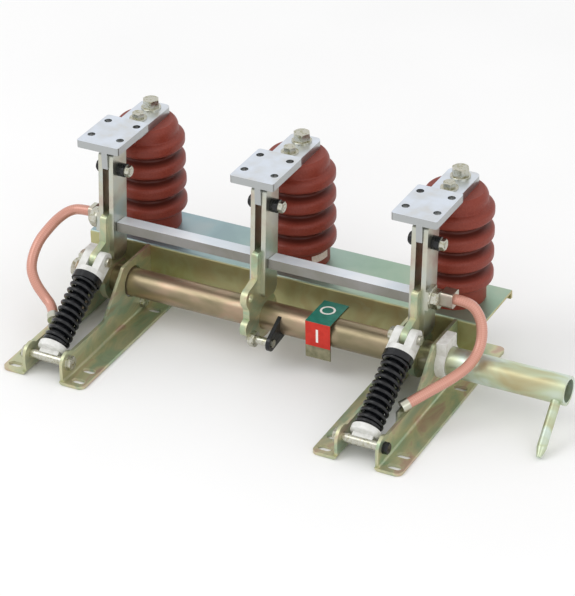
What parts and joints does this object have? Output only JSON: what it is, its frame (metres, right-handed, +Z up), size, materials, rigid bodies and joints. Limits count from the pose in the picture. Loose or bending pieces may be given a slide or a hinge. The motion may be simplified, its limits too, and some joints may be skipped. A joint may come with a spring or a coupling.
{
  "type": "earthing switch",
  "caption": "Indoor medium-voltage earthing switch with post insulators, paired contact blades on one rotating shaft, and over-centre spring struts at both ends.",
  "frame": {"origin": "middle of the slotted mounting feet, on the plane they are bolted to", "axes": "+X along the shaft towards its driven end, +Y towards the insulators at the back, +Z up"},
  "size_m": [0.6937, 0.3208, 0.2467],
  "materials": {
    "zinc_steel": "yellow iridescent zinc plate, satin",
    "plated_copper": "silver-plated copper bar, satin",
    "resin": "red-brown cast epoxy resin, satin",
    "nylon": "white nylon",
    "black_steel": "black-coated spring steel",
    "copper_braid": "copper braid in a clear sleeve",
    "cast_alloy": "cast, satin",
    "indicator_paint": "red and green position plate"
  },
  "bodies": {
    "frame": {"base_beam": "zinc_steel", "left_outer_bracket": "zinc_steel", "left_inner_bracket": "zinc_steel", "right_outer_bracket": "zinc_steel", "right_inner_bracket": "zinc_steel", "left_bearing": "nylon", "right_bearing": "nylon", "left_insulator": "resin", "middle_insulator": "resin", "right_insulator": "resin", "left_fixed_contact": "plated_copper", "middle_fixed_contact": "plated_copper", "right_fixed_contact": "plated_copper", "left_foot_pin": "zinc_steel", "right_foot_pin": "zinc_steel", "left_lower_lug": "plated_copper", "right_lower_lug": "plated_copper", "left_braid": "copper_braid", "right_braid": "copper_braid"},
    "shaft": {"main_shaft": "zinc_steel", "lever_rod": "zinc_steel", "left_arm": "zinc_steel", "middle_arm": "zinc_steel", "right_arm": "zinc_steel", "left_blades": "plated_copper", "middle_blades": "plated_copper", "right_blades": "plated_copper", "contact_springs": "black_steel", "clamp_bolts": "zinc_steel", "left_crossbar": "plated_copper", "right_crossbar": "plated_copper", "drive_crank": "zinc_steel", "drive_pin": "zinc_steel", "indicator_flag": "indicator_paint", "left_crank_pin": "zinc_steel", "right_crank_pin": "zinc_steel", "left_upper_lug": "plated_copper", "right_upper_lug": "plated_copper"},
    "left_strut": {"left_strut_saddle": "nylon", "left_spring_seat": "nylon", "left_spring": "black_steel"},
    "left_fork_body": {"left_fork": "cast_alloy"},
    "right_strut": {"right_strut_saddle": "nylon", "right_spring_seat": "nylon", "right_spring": "black_steel"},
    "right_fork_body": {"right_fork": "cast_alloy"}
  },
  "joints": [
    {"name": "shaft_turn", "type": "hinge", "parent": "frame", "child": "shaft", "pos_m": [0, 0.072, 0.052], "axis": [1, 0, 0], "range_deg": [0, 70], "deforming": ["left_spring", "right_spring", "left_braid", "right_braid"]},
    {"name": "left_strut_tilt", "type": "hinge", "parent": "frame", "child": "left_strut", "pos_m": [-0.21, -0.086, 0.022], "axis": [1, 0, 0], "range_deg": [-28, 0]},
    {"name": "left_fork_tilt", "type": "hinge", "parent": "shaft", "child": "left_fork_body", "pos_m": [-0.21, 0.035, 0.095], "axis": [1, 0, 0], "range_deg": [-98, 0]},
    {"name": "right_strut_tilt", "type": "hinge", "parent": "frame", "child": "right_strut", "pos_m": [0.21, -0.086, 0.022], "axis": [1, 0, 0], "range_deg": [-28, 0]},
    {"name": "right_fork_tilt", "type": "hinge", "parent": "shaft", "child": "right_fork_body", "pos_m": [0.21, 0.035, 0.095], "axis": [1, 0, 0], "range_deg": [-98, 0]}
  ],
  "couplings": [
    {"joint": "left_strut_tilt", "follows": "shaft_turn", "ratio": -0.36704},
    {"joint": "left_fork_tilt", "follows": "shaft_turn", "ratio": -1.367},
    {"joint": "right_strut_tilt", "follows": "shaft_turn", "ratio": -0.36704},
    {"joint": "right_fork_tilt", "follows": "shaft_turn", "ratio": -1.367}
  ]
}
